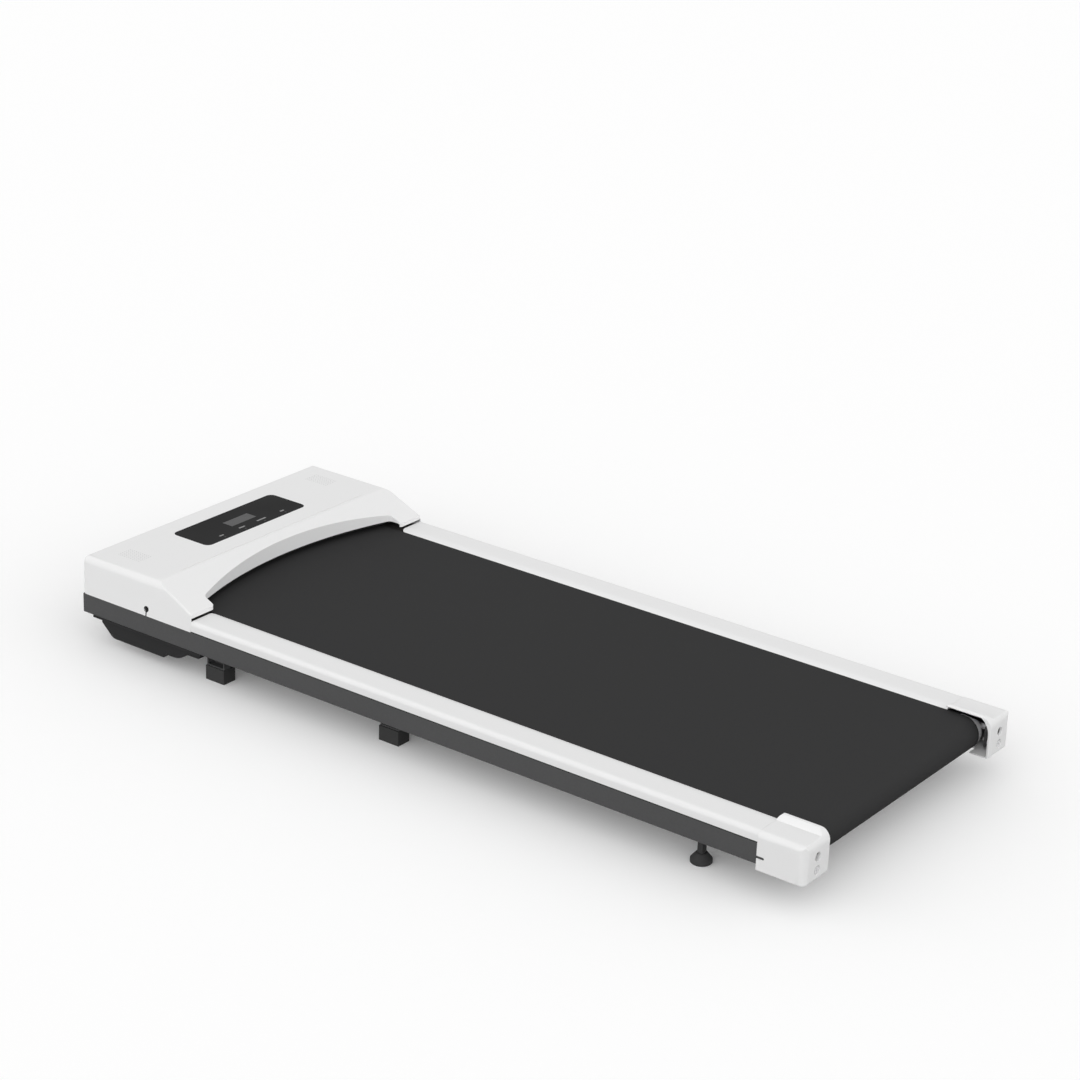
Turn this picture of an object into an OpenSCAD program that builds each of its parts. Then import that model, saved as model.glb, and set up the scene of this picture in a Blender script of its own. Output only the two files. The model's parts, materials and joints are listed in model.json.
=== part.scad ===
// Under-desk walking pad: a low treadmill without handrails.
// X runs from the motor hood (negative) to the step-on end (positive), Y across, Z up.
// The origin is on the floor, below the middle of the whole machine.

/* [Overall] */
// Length from the front of the hood to the back of the end caps
overall_l = 1233; // [1150:1:1320]
// Width over the outer faces of the side rails
frame_w = 512.8; // [480:0.2:560]
// Height of the rails' underside above the floor
rail_z = 46; // [44:0.5:60]

/* [Frame] */
// Height of a side rail
rail_h = 29.4; // [26:0.2:34]
// Width of a side rail, across the machine
rail_w = 20; // [18:0.5:24]
// Wall of the rail and cross tubes
tube_wall = 1.5; // [1.2:0.1:2]
// Set back of the rails from the front of the hood
rail_setback = 3; // [2:0.5:6]
// Set back of the rails from the rear of the end caps
rail_tail_setback = 17; // [16.5:0.5:20]
// Width and height of a cross tube
cross_w = 20; // [16:1:22]
// Distance of the front cross tube from the rails' front ends
cross_front = 190; // [170:1:205]
// Distance of the middle cross tube from the rails' front ends
cross_middle = 620; // [580:1:760]
// Distance of the rear cross tube from the back of the end caps
cross_rear = 140; // [110:1:150]
// Thickness of the plates welded to the rails
plate_t = 3; // [2.5:0.5:4]

/* [Belt and rollers] */
// Distance of the belt's edges from the rails' outer faces
belt_margin = 49.6; // [48:0.2:60]
// Thickness of the walking belt
belt_t = 1.8; // [1.4:0.1:2.4]
// Outer diameter of both rollers
roller_d = 44.4; // [40:0.2:46]
// Wall of the roller tubes
roller_wall = 2; // [1.5:0.1:2.5]
// Distance of the drive roller from the rails' front ends
drive_x = 118; // [116:0.5:122]
// Distance of the tail roller from the back of the end caps
tail_x = 43; // [42:0.5:46]
// Overhang of the drive roller's tube over the belt's edges
drive_tube_over = 1.2; // [0.5:0.1:2]
// Distance of the tail roller's tube from the rails
tail_tube_gap = 18.4; // [18:0.2:26]
// Diameter of the fixed axles
axle_d = 12; // [10:0.5:14]
// Outer diameter of the roller bearings
bearing_d = 32; // [28:0.5:34]
// Width of the roller bearings
bearing_w = 10; // [8:0.5:12]

/* [Deck] */
// Thickness of the deck board
deck_t = 10; // [8:0.5:12]
// Distance of the deck's edges from the rails' outer faces
deck_margin = 9.9; // [9.5:0.1:11]
// Thickness of the rubber strips between deck and rails
strip_t = 1.5; // [1:0.1:2.5]
// Width of the rubber strips
strip_w = 13; // [8:0.5:14]

/* [Foot rails] */
// Height of a foot rail's tread above the walking belt
landing_rise = 3; // [2.6:0.1:5]
// Clearance between the belt's edge and a foot rail
landing_clear = 0.8; // [0.6:0.1:3]
// Radius of the outer shoulder of a foot rail
landing_r = 7; // [5:0.5:10]
// Wall of the foot rails
landing_wall = 2.6; // [2:0.1:2.8]
// Width of the soft roll towards the belt
roll_w = 13.5; // [8:0.5:14]
// Radius of the soft roll towards the belt
roll_r = 29; // [27:0.5:60]

/* [Hood] */
// Height of the hood's flat top above the floor
hood_top_z = 132; // [126:0.1:140]
// Length of the hood at its side skirts
hood_l = 214; // [205:1:225]
// Start of the rear slope, from the hood's front
hood_crest = 143; // [138:0.5:150]
// Rounding between the hood's top and its rear slope
hood_crest_r = 14; // [6:1:40]
// Angle of the rear slope
slope_angle = 24.8; // [20:0.1:27]
// Rounding of the slope's side edges
slope_edge_r = 3.2; // [1.5:0.1:5]
// Height of the hood's lower rear edge above the foot rails
hood_tip_gap = 3.1; // [2.5:0.1:6]
// Wall of the hood
hood_wall = 2.8; // [2.2:0.1:3.2]
// Rounding of the hood's top edges
hood_edge_r = 12.5; // [8:0.5:14]
// Rounding of the hood's upright front corners
hood_corner_r = 10; // [8:0.5:16]
// Rounding of the hood's front edge
hood_front_r = 6.5; // [4:0.5:10]
// Inward lean of the hood's sides from the rails to the top edge
hood_draft = 5.9; // [2:0.1:7]
// Depth of the arched opening over the belt, from the hood's rear edge, at the middle
arch_depth = 50.9; // [46:0.1:58]
// Radius of the arch seen from above, along its upper edge
arch_r = 644; // [560:1:720]
// Overhang of the arch's upper edge over its lower edge
arch_lean = 3.8; // [2:0.1:8]
// Rounding where the arch meets the wing tips
arch_corner_r = 9; // [5:0.5:12]
// Height of the arch's lower edge above the wing tips' underside
arch_lip = 5; // [3:0.5:8]
// Overlap of the wing tips over the belt's edges
wing_overlap = 0.3; // [0:0.1:2]

/* [Control panel] */
// Length of the control panel, across the hood
panel_l = 216; // [180:1:230]
// Width of the control panel
panel_w = 72.4; // [60:0.2:76]
// Corner radius of the control panel
panel_r = 10; // [6:0.5:14]
// Distance of the panel from the hood's front
panel_x = 37.4; // [30:0.1:40]
// Thickness of the panel's film
panel_t = 0.8; // [0.5:0.1:1.2]
// Length of the display window, across the hood
window_l = 53; // [40:0.5:70]
// Width of the display window
window_w = 19.5; // [14:0.5:26]
// Offset of the window from the hood's middle
window_y = -1.5; // [-8:0.5:8]

/* [End caps] */
// Length of an end cap along the rail
cap_l = 70.5; // [66:0.5:80]
// Height of the end caps' underside above the floor
cap_z = 38.5; // [37:0.5:40]
// Stand-off of an end cap's side from the rail
cap_side = 2; // [1.8:0.1:3]
// Height of the cap's inner ridge above its top
cap_ridge = 6.5; // [4:0.5:8]
// Rounding of the ridge towards the rear
cap_rear_r = 18; // [14:0.5:20]
// Rounding of the cap's outer top edge
cap_edge_r = 8.5; // [6:0.5:10]
// Rounding of the cap's upright rear corner
cap_corner_r = 11.5; // [8:0.5:13]
// Overlap of the cap's inner edge over the belt
cap_overlap = 4.3; // [3:0.1:6]

/* [Drive] */
// Diameter of the motor
motor_d = 64; // [56:1:66]
// Length of the motor
motor_l = 104; // [90:1:110]
// Distance of the motor's shaft from the rails' front ends
motor_x = 52; // [48:0.5:54]
// Height of the motor's shaft above the floor
motor_z = 88; // [86:0.5:90]
// Diameter of the motor's shaft
motor_shaft_d = 10; // [8:0.5:12]
// Groove diameter of the motor pulley
motor_pulley_d = 23; // [20:0.5:28]
// Groove diameter of the roller pulley
roller_pulley_d = 56; // [50:0.5:58]
// Width of both pulleys
pulley_w = 14; // [10:0.5:14]
// Number of ribs on the drive belt
belt_ribs = 4; // [3:1:5]

/* [Floor contact] */
// Length of a block foot, along the rail
foot_l = 34.4; // [28:0.2:40]
// Width of a block foot, across the machine
foot_w = 24; // [20:0.5:28]
// Height of a block foot
foot_h = 22; // [16:0.5:26]
// Distance of the front block feet from the rails' front ends
front_foot_x = 238.5; // [232:0.5:260]
// Distance of the middle block feet from the rails' front ends
middle_foot_x = 547.5; // [500:0.5:600]
// Inset of the middle block feet from the rails' inner faces
middle_foot_inset = -11.9; // [-14:0.1:-8]
// Diameter of a levelling foot
pad_d = 29; // [24:0.5:34]
// Distance of the levelling feet from the back of the end caps
pad_x = 171; // [160:1:200]
// Diameter of the transport wheels
wheel_d = 30; // [26:1:32]
// Width of the transport wheels
wheel_w = 14; // [10:0.5:18]
// Distance of a transport wheel from the machine's middle
wheel_y = 150; // [100:1:180]

/* [Belly pan] */
// Height of the pan's underside above the floor
pan_z = 15; // [12:0.5:18]
// Wall of the pan
pan_wall = 2.5; // [2:0.1:3]
// Inset of the pan's sides from the rails' outer faces
pan_side = 5; // [4:0.5:8]
// Thickness of the pan's flange
flange_t = 3; // [2.5:0.1:3.5]

/* [Hidden] */
$fn = 96;
fine = 0.01;
sink = 0.004;
run_gap = 0.3;
seat_gap = 0.2;
bearing_fit = 0.05;
front_x = -overall_l / 2;
back_x = overall_l / 2;
rail_front = front_x + rail_setback;
rail_back = back_x - rail_tail_setback;
rail_out = frame_w / 2;
rail_in = rail_out - rail_w;
rail_top = rail_z + rail_h;
belt_w = frame_w - 2 * belt_margin;
drive_tube_l = belt_w + 2 * drive_tube_over;
tail_tube_l = 2 * (rail_in - tail_tube_gap);
deck_w = frame_w - 2 * deck_margin;
wing_gap = belt_w - 2 * wing_overlap;

// heights of the deck and the belt, from the rails up
deck_z = rail_top + strip_t;
deck_top = deck_z + deck_t;
belt_top = deck_top + seat_gap + belt_t;
belt_in_r = roller_d / 2 + run_gap;
belt_out_r = belt_in_r + belt_t;
roller_z = belt_top - belt_out_r;
drive_c = rail_front + drive_x;
tail_c = back_x - tail_x;
deck_clear = 4;
pulley_rim = 2;
deck_front = drive_c + max(belt_in_r, roller_pulley_d / 2 + pulley_rim) + deck_clear;
deck_back = tail_c - belt_in_r - deck_clear;

cap_front = back_x - cap_l;
landing_top = belt_top + landing_rise;
landing_in = belt_w / 2 + landing_clear;
landing_front = front_x + hood_l + 0.3;
hood_back = front_x + hood_l;
hood_lip_z = landing_top + hood_tip_gap;

// tail end: axle carrier, tension bolt and cap screw
bolt_y = rail_in - 6.7;
bolt_z = rail_z + 24.5;
cap_screw_z = rail_z + 6.3;
bolt_d = 8;
bolt_head_d = 13;
bolt_head_h = 8;
tail_plate_in = bolt_y - 11;

motor_c = rail_front + motor_x;
pulley_y = drive_tube_l / 2 + 1.5;
motor_y0 = pulley_y - 23.5 - motor_l;

pan_out = rail_out - pan_side;
pan_front = rail_front + 19;
pan_l = 210;
pan_back = pan_front + pan_l;
wheel_c = rail_front + 44;
wheel_z = pan_z + wheel_d / 2 - 3;

// General shapes

module along_y(y0, y1) {
  translate([0, y1, 0]) rotate([90, 0, 0]) linear_extrude(y1 - y0) children();
}

module along_x(x0, x1) {
  translate([x0, 0, 0]) rotate([90, 0, 90]) linear_extrude(x1 - x0) children();
}

module rod_x(y, z, d, x0, x1) {
  translate([x0, y, z]) rotate([0, 90, 0]) cylinder(d = d, h = x1 - x0);
}

module rod_y(x, z, d, y0, y1) {
  translate([x, y0, z]) rotate([-90, 0, 0]) cylinder(d = d, h = y1 - y0);
}

module block(x0, x1, y0, y1, z0, z1) {
  translate([x0, y0, z0]) cube([x1 - x0, y1 - y0, z1 - z0]);
}

module left_side() {
  mirror([0, 1, 0]) children();
}

module both_sides() {
  children();
  left_side() children();
}

// Rectangle with its own radius at each corner: lower left, lower right, upper right, upper left
module round_rect(u0, u1, v0, v1, r) {
  corners = [[u0, v0, 1, 1], [u1, v0, -1, 1], [u1, v1, -1, -1], [u0, v1, 1, -1]];
  difference() {
    translate([u0, v0]) square([u1 - u0, v1 - v0]);
    for (i = [0 : 3]) corner_bite(corners[i], r[i]);
  }
}

module corner_bite(c, r) {
  if (r > 0) difference() {
    translate([c[0] + (c[2] < 0 ? -r : -fine), c[1] + (c[3] < 0 ? -r : -fine)])
      square([r + fine, r + fine]);
    translate([c[0] + c[2] * r, c[1] + c[3] * r]) circle(r);
  }
}

// Outline round two circles with straight tangents
module tangent_loop(a, ra, b, rb) {
  run = norm(b - a);
  dir = atan2(b[1] - a[1], b[0] - a[0]);
  lean = acos((ra - rb) / run);
  translate(a) circle(ra);
  translate(b) circle(rb);
  polygon([
    a + (ra - sink) * [cos(dir + lean), sin(dir + lean)],
    a + (ra - sink) * [cos(dir - lean), sin(dir - lean)],
    b + (rb - sink) * [cos(dir - lean), sin(dir - lean)],
    b + (rb - sink) * [cos(dir + lean), sin(dir + lean)]
  ]);
}

// Frame

foot_post_w = 9;
foot_post_l = 8;
post_gap = 0.3;
sleeve_wall = 3;
pad_c = back_x - pad_x;
pad_y = rail_in - 12.7;
front_foot_c = rail_front + front_foot_x;
middle_foot_c = rail_front + middle_foot_x;
seat_l = 26;
seat_w = 10;
weld_l = 12;
weld_depth = 0.5;
hood_tab_x = front_x + 128;
hood_tab_l = 16;
hood_tab_y = rail_out - 6.5;
keyhole_z = rail_top + 10.3;
keyhole_r = 3.5;
keyhole_slot = 1.8;
hood_screw_d = 6.4;

// Rectangular tube with its welded parts: axle seat, tail plate, foot brackets, hood tab
module side_rail() {
  color("dimgray") difference() {
    union() {
      difference() {
        along_x(rail_front, rail_back)
          round_rect(rail_in, rail_out, rail_z, rail_top, [1.5, 1.5, 1.5, 1.5]);
        along_x(rail_front - 1, rail_back + 1)
          translate([rail_in + tube_wall, rail_z + tube_wall])
            square([rail_w - 2 * tube_wall, rail_h - 2 * tube_wall]);
      }
      block(rail_back, rail_back + plate_t, tail_plate_in, rail_out - 1, rail_z, rail_top);
      axle_seat();
      block_foot_bracket(front_foot_c, rail_in);
      block_foot_bracket(middle_foot_c, rail_in + middle_foot_inset);
      foot_sleeve();
      hood_tab();
      for (x = [drive_c, front_foot_c, middle_foot_c, pad_c]) wall_weld(x);
    }
    rod_x(bolt_y, bolt_z, bolt_d + 2 * run_gap, rail_back - 1, rail_back + plate_t + 1);
    rod_x(bolt_y, cap_screw_z, 5, rail_back - 1, rail_back + plate_t + 1);
    rod_y(drive_c, roller_z, axle_d + 2 * bearing_fit, rail_in - seat_w - 1, rail_in - 1);
    block(pad_c - foot_post_l / 2 - post_gap, pad_c + foot_post_l / 2 + post_gap,
      pad_y - foot_post_w / 2 - post_gap, pad_y + foot_post_w / 2 + post_gap,
      rail_z - 1, rail_top - sleeve_wall);
    rod_y(hood_tab_x, keyhole_z, 4, hood_tab_y - 3, hood_tab_y + 3);
    for (x = deck_screw_x) deck_screw_shank(x, deck_screw_d);
    for (p = pan_screw_at) translate([p[0], pan_screw_y, rail_z - 1])
      cylinder(d = pan_screw_d, h = tube_wall + 2);
  }
}

// Weld inside the tube's inner wall, where a seat, bracket or sleeve stands against it
module wall_weld(c) {
  block(c - weld_l / 2, c + weld_l / 2, rail_in - weld_depth, rail_in + weld_depth,
    rail_z + rail_h / 4, rail_top - rail_h / 4);
}

module axle_seat() {
  along_y(rail_in - seat_w, rail_in)
    round_rect(drive_c - seat_l / 2, drive_c + seat_l / 2, rail_z + 2, rail_top - 1, [3, 3, 3, 3]);
}

// Steel channel that holds a block foot: two cheeks, a back and a base
module block_foot_bracket(c, outer_y) {
  cheek = 2;
  near_y = outer_y - 2;
  back_y = outer_y - 15;
  half = foot_l / 2 - 1;
  difference() {
    union() {
      block(c - half, c + half, back_y, near_y, foot_h, rail_z);
      block(c - half, c + half, back_y, rail_in, rail_z, rail_top - 4);
    }
    block(c - half + cheek, c + half - cheek, back_y + cheek, rail_in - cheek,
      foot_h + cheek, rail_top - 4 - cheek);
    block(c - half + cheek, c + half - cheek, back_y + cheek, near_y + 1,
      foot_h + cheek, rail_z - 1);
  }
}

module foot_sleeve() {
  half_l = foot_post_l / 2 + post_gap + sleeve_wall;
  half_w = foot_post_w / 2 + post_gap + sleeve_wall;
  block(pad_c - half_l, pad_c + half_l, pad_y - half_w, rail_in, rail_z, rail_top);
}

module hood_tab() {
  along_y(hood_tab_y - 1, hood_tab_y + 1)
    round_rect(hood_tab_x - hood_tab_l / 2, hood_tab_x + hood_tab_l / 2,
      rail_top - 0.5, keyhole_z + 7, [0, 0, 4, 4]);
}

module front_beam() {
  color("dimgray") difference() {
    block(rail_front, rail_front + cross_w, -rail_in, rail_in, rail_z, rail_top);
    block(rail_front + tube_wall, rail_front + cross_w - tube_wall, -rail_in - 1, rail_in + 1,
      rail_z + tube_wall, rail_top - tube_wall);
  }
}

module cross_tube(c) {
  color("dimgray") difference() {
    block(c - cross_w / 2, c + cross_w / 2, -rail_in, rail_in, rail_top - cross_w, rail_top);
    block(c - cross_w / 2 + tube_wall, c + cross_w / 2 - tube_wall, -rail_in - 1, rail_in + 1,
      rail_top - cross_w + tube_wall, rail_top - tube_wall);
  }
}

// Deck, belt and foot rails

module deck_board() {
  color("saddlebrown") difference() {
    along_y(-deck_w / 2, deck_w / 2)
      round_rect(deck_front, deck_back, deck_z, deck_top, [0, 0, 2, 2]);
    both_sides() for (x = deck_screw_x) {
      deck_screw_shank(x, deck_screw_d);
      translate([x, deck_screw_y, deck_top - 2]) cylinder(d1 = deck_screw_d, d2 = 9, h = 2);
    }
  }
}

deck_screw_front = 39;
deck_screw_rear = 109.5;
deck_screw_x = [
  hood_back + deck_screw_front, (hood_back + deck_screw_front + cap_front - deck_screw_rear) / 2,
  cap_front - deck_screw_rear
];
deck_screw_y = rail_in + 4.2;
deck_screw_d = 5;

module deck_screw_shank(x, d) {
  translate([x, deck_screw_y, rail_top - 8]) cylinder(d = d, h = deck_top - rail_top + 8);
}

// Countersunk screw from the deck board into the rail
module deck_screw(x) {
  color("silver") difference() {
    union() {
      deck_screw_shank(x, deck_screw_d);
      translate([x, deck_screw_y, deck_top - 2]) cylinder(d1 = deck_screw_d, d2 = 9, h = 2);
    }
    translate([x, deck_screw_y, deck_top - 1.6]) cylinder(d = 3, h = 2, $fn = 6);
  }
}

module deck_strip() {
  color("black") difference() {
    block(deck_front + 4, cap_front - 1, rail_in + 0.6, rail_in + 0.6 + strip_w, rail_top, deck_z);
    for (x = deck_screw_x) deck_screw_shank(x, deck_screw_d);
  }
}

module walking_belt() {
  a = [drive_c, roller_z];
  b = [tail_c, roller_z];
  color("darkslategray") along_y(-belt_w / 2, belt_w / 2) difference() {
    tangent_loop(a, belt_out_r, b, belt_out_r);
    tangent_loop(a, belt_in_r, b, belt_in_r);
  }
}

tread_corner_r = 7;
tread_front_r = 1.5;

// Section of a foot rail's tread with its soft roll down to the belt, or of the hollow below it
module tread_section(inset) {
  outer = rail_out - 0.3 - inset;
  top = landing_top - inset;
  bottom = deck_z - inset;
  roll_y = landing_in + roll_w;
  difference() {
    round_rect(landing_in - inset, outer, bottom, top, [0, 0, landing_r - inset, 0]);
    difference() {
      translate([landing_in - inset - 1, top - roll_w]) square([roll_w + inset + 1, roll_w + 1]);
      translate([roll_y, landing_top - roll_r]) circle(roll_r - inset);
    }
  }
}

// Moulded foot rail: tread, rounded shoulder, skirt and inner ribs
module foot_rail() {
  tread = landing_top - landing_wall;
  rib = deck_w / 2 + run_gap;
  color("whitesmoke") intersection() {
    along_x(landing_front, cap_front) {
      difference() {
        tread_section(0);
        tread_section(landing_wall);
        translate([landing_in - 1, deck_z - 1])
          square([deck_w / 2 - landing_in + 1 + run_gap, deck_top + seat_gap - deck_z + 1]);
      }
      translate([rib, deck_z]) square([2.2, tread - deck_z + 1]);
      for (y = [landing_in + 7, deck_w / 2 - 6])
        translate([y, deck_top]) square([2, tread - deck_top + 1]);
    }
    along_y(landing_in - 1, rail_out + 1)
      round_rect(landing_front, cap_front, deck_z, landing_top, [0, 0, 0, tread_front_r]);
    translate([0, 0, deck_z - 1]) linear_extrude(landing_top)
      round_rect(landing_front, cap_front, landing_in, rail_out, [tread_corner_r, 0, 0, 0]);
  }
}

// Rollers

module roller(c, tube_l) {
  plug = bearing_w + 4;
  color("silver") difference() {
    rod_y(c, roller_z, roller_d, -tube_l / 2, tube_l / 2);
    rod_y(c, roller_z, roller_d - 2 * roller_wall, -tube_l / 2 + plug, tube_l / 2 - plug);
    rod_y(c, roller_z, axle_d + 6, -tube_l / 2 - 1, tube_l / 2 + 1);
    both_sides() rod_y(c, roller_z, bearing_d, tube_l / 2 - bearing_w, tube_l / 2 + 1);
  }
}

module roller_bearings(c, tube_l) {
  color("lightgray") both_sides() difference() {
    rod_y(c, roller_z, bearing_d, tube_l / 2 - bearing_w, tube_l / 2);
    rod_y(c, roller_z, axle_d + 2 * bearing_fit, tube_l / 2 - bearing_w - 1, tube_l / 2 + 1);
    shield_groove(c, tube_l / 2);
  }
}

// Shallow ring between the inner and outer race
module shield_groove(c, y) {
  difference() {
    rod_y(c, roller_z, bearing_d - 6, y - 0.5, y + 1);
    rod_y(c, roller_z, axle_d + 6, y - 1, y + 2);
  }
}

module drive_axle() {
  color("gray") rod_y(drive_c, roller_z, axle_d, -rail_in + 1, rail_in - 1);
}

tail_axle_end = rail_in - 2.4;

module tail_axle() {
  color("gray") rod_y(tail_c, roller_z, axle_d, -tail_axle_end, tail_axle_end);
}

carrier_in = tail_tube_l / 2 + 3;
carrier_back = tail_c + 17;

module axle_carrier() {
  color("gray") difference() {
    along_y(carrier_in, rail_in - run_gap)
      round_rect(tail_c - 9, carrier_back, roller_z - 10, bolt_z + 7.5, [3, 3, 3, 3]);
    rod_y(tail_c, roller_z, axle_d + 2 * bearing_fit, carrier_in - 1, tail_axle_end + 0.2);
    rod_x(bolt_y, bolt_z, bolt_d + 2 * bearing_fit, tail_c + 7, carrier_back + 1);
  }
}

// Hexagon socket bolt that pulls the axle carrier towards the tail plate
module tension_bolt() {
  head_x = rail_back + plate_t + 0.2;
  color("dimgray") difference() {
    union() {
      rod_x(bolt_y, bolt_z, bolt_d, tail_c + 7.6, head_x + 1);
      rod_x(bolt_y, bolt_z, bolt_head_d, head_x, head_x + bolt_head_h);
    }
    translate([head_x + bolt_head_h - 4, bolt_y, bolt_z]) rotate([0, 90, 0])
      cylinder(d = 7, h = 5, $fn = 6);
  }
}

module roller_pulley() {
  color("dimgray") difference() {
    ribbed_pulley(drive_c, roller_z, roller_pulley_d, pulley_y, roller_d / 2 - 3);
    rod_y(drive_c, roller_z, axle_d + 6, pulley_y - 3, pulley_y + pulley_w + 1);
  }
}

// Pulley with flanges and one groove for each rib of the belt, a hub reaches back to the roller
module ribbed_pulley(x, z, d, y, hub_r) {
  flange = 1.6;
  pitch = (pulley_w - 2 * flange) / belt_ribs;
  translate([x, y, z]) rotate([-90, 0, 0]) rotate_extrude() difference() {
    union() {
      square([d / 2, pulley_w]);
      square([d / 2 + pulley_rim, flange]);
      translate([0, pulley_w - flange]) square([d / 2 + pulley_rim, flange]);
      translate([0, -1.5]) square([hub_r, 2]);
    }
    for (i = [0 : belt_ribs - 1])
      translate([d / 2, flange + pitch * (i + 0.5)])
        polygon([[0.1, pitch * 0.4], [-pitch * 0.5, 0], [0.1, -pitch * 0.4]]);
  }
}

// End caps

cap_out = rail_out + cap_side;
cap_in = belt_w / 2 - cap_overlap;
cap_top = landing_top + 0.1;
cap_side_wall = cap_side - 0.3;
cap_top_wall = 3.2;
cap_rear_wall = 4;
cap_floor = 2;
ridge_r = 3.5;
ridge_z = cap_top + cap_ridge;
ridge_w = 5;
ridge_foot = 15;
cap_window_r = 26;

// Cross section: flat top, round outer edge, raised ridge along the belt
module cap_section(inset, floor_t, top_t) {
  top = cap_top - top_t;
  ridge = ridge_z - top_t * 1.15;
  r = max(ridge_r - inset, 0.6);
  round_rect(cap_in - inset, cap_out - inset, cap_z + floor_t, top,
    [0, 2 - min(inset, 1), cap_edge_r - inset, 0]);
  translate([cap_in + ridge_r - inset * 4, ridge - r]) circle(r);
  translate([cap_in + ridge_w - inset, ridge - r]) circle(r);
  polygon([
    [cap_in - inset * 3, top - 4], [cap_in + ridge_foot - inset, top],
    [cap_in + ridge_w - inset + r * 0.6, ridge - r * 0.2], [cap_in + ridge_w - inset, ridge],
    [cap_in + ridge_r - inset * 4, ridge],
    [cap_in - inset * 4 + ridge_r - r, ridge - r]
  ]);
}

module cap_outer() {
  intersection() {
    along_x(cap_front, back_x) cap_section(0, 0, 0);
    along_y(cap_in - 1, cap_out + 1)
      round_rect(cap_front, back_x, cap_z, ridge_z, [0, 4, cap_rear_r, 7]);
    translate([0, 0, cap_z - 1]) linear_extrude(ridge_z - cap_z + 2)
      round_rect(cap_front, back_x, cap_in, cap_out, [0, 2, cap_corner_r, 0]);
  }
}

module cap_hollow() {
  rear = back_x - cap_rear_wall;
  intersection() {
    along_x(cap_front - 1, rear) cap_section(cap_side_wall, cap_floor, cap_top_wall);
    along_y(cap_in - 8, cap_out + 1)
      round_rect(cap_front - 1, rear, cap_z, ridge_z, [0, 6, cap_window_r, 0]);
    translate([0, 0, cap_z - 1]) linear_extrude(ridge_z - cap_z + 2)
      round_rect(cap_front - 1, rear, cap_in - 8, cap_out - cap_side_wall, [0, 0, cap_corner_r - 4.5, 0]);
  }
}

recess_d = 12.3;
cap_boss_d = 16;

module end_cap() {
  color("whitesmoke") difference() {
    union() {
      difference() {
        cap_outer();
        cap_hollow();
      }
      rod_x(bolt_y, cap_screw_z, cap_boss_d, rail_back + plate_t, back_x - cap_rear_wall + 0.5);
    }
    rod_x(bolt_y, bolt_z, recess_d, back_x - cap_rear_wall - 1, back_x + 1);
    rod_x(bolt_y, cap_screw_z, recess_d, back_x - 2.6, back_x + 1);
    rod_x(bolt_y, cap_screw_z, 5.4, rail_back + plate_t - 1, back_x);
    snap_slot();
    block(cap_front - 1, tail_c + 14, cap_in - 1, tail_tube_l / 2 + 2, cap_z - 1, cap_z + 6);
  }
}

// Short slot with a round end at the front of the cap's side
module snap_slot() {
  slot_z = cap_z + 18.7;
  slot_h = 3.4;
  block(cap_front - 1, cap_front + 9.5, cap_out - 4, cap_out + 1, slot_z - slot_h / 2,
    slot_z + slot_h / 2);
  rod_y(cap_front + 9.5, slot_z, slot_h, cap_out - 4, cap_out + 1);
}

module cap_screw() {
  color("dimgray") difference() {
    union() {
      rod_x(bolt_y, cap_screw_z, 9.4, back_x - 2.6, back_x - 0.6);
      rod_x(bolt_y, cap_screw_z, 4.8, rail_back - 6, back_x - 1);
    }
    cross_recess(back_x - 0.6, bolt_y, cap_screw_z, 4.6);
  }
}

// Cross-shaped driver recess in a screw head that faces along X
module cross_recess(x, y, z, w) {
  for (turn = [0, 90]) translate([x, y, z]) rotate([turn, 0, 0])
    translate([-1.2, -w / 2, -0.5]) cube([2, w, 1]);
}

// Hood

hood_front = front_x;
draft_angle = atan(hood_draft / (hood_top_z - rail_top));
crest_x = hood_front + hood_crest;
inlet_y = -rail_in + 60.4;
switch_y = -rail_in + 104.4;
breaker_y = -rail_in + 138.4;
panel_c = front_x + panel_x + panel_w / 2;
port_z = rail_top + 25;
port_recess = 5;
port_x = hood_front + port_recess;

// Side view: rounded front edge, flat top, curved crest, straight slope down to the wing tips
module hood_side_view(inset) {
  r = max(hood_crest_r - inset, fine);
  bend_x = crest_x + r * sin(slope_angle);
  bend_z = hood_top_z - hood_crest_r + r * cos(slope_angle);
  difference() {
    round_rect(hood_front + inset, hood_back - inset, rail_top - inset, hood_top_z - inset,
      [0, 0, 0, hood_front_r - inset]);
    difference() {
      translate([crest_x, bend_z]) square([bend_x - crest_x, hood_crest_r]);
      translate([crest_x, hood_top_z - hood_crest_r]) circle(r);
    }
    translate([bend_x, bend_z]) rotate(-slope_angle) translate([-hood_edge_r, 0])
      square([hood_l, hood_top_z]);
  }
}

// End view: sides that lean in a little, with rounded top edges
module hood_end_view(inset) {
  r = hood_edge_r - inset;
  foot_y = rail_out - inset / cos(draft_angle);
  centre_z = hood_top_z - hood_edge_r;
  centre_y = foot_y - (centre_z - rail_top) * tan(draft_angle) - r / cos(draft_angle);
  union() {
    translate([-centre_y, rail_top - inset])
      square([2 * centre_y, hood_top_z - rail_top]);
    for (m = [0, 1]) mirror([m, 0]) {
      translate([centre_y, centre_z]) circle(r);
      polygon([
        [0, rail_top - inset], [foot_y + inset * tan(draft_angle), rail_top - inset],
        [centre_y + (r - sink) * cos(draft_angle), centre_z + (r - sink) * sin(draft_angle)],
        [centre_y, centre_z],
        [0, centre_z]
      ]);
    }
  }
}

// Outer body of the hood, or its hollow when inset by the wall
module hood_body(inset) {
  corner = hood_corner_r - inset;
  intersection() {
    along_y(-rail_out - 1, rail_out + 1) hood_side_view(inset);
    along_x(hood_front - 1, hood_back + 1) hood_end_view(inset);
    translate([0, 0, rail_top - inset - 1]) linear_extrude(hood_top_z)
      round_rect(hood_front + inset, hood_back + 1, -rail_out + inset, rail_out - inset,
        [corner, 0, 0, corner]);
  }
}

tip_inner_r = 4.5;
tip_outer_r = 3.4;
tip_side = rail_out - 2.2;
groove_w = 1;
groove_depth = 0.6;
groove_l = 402;

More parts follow.
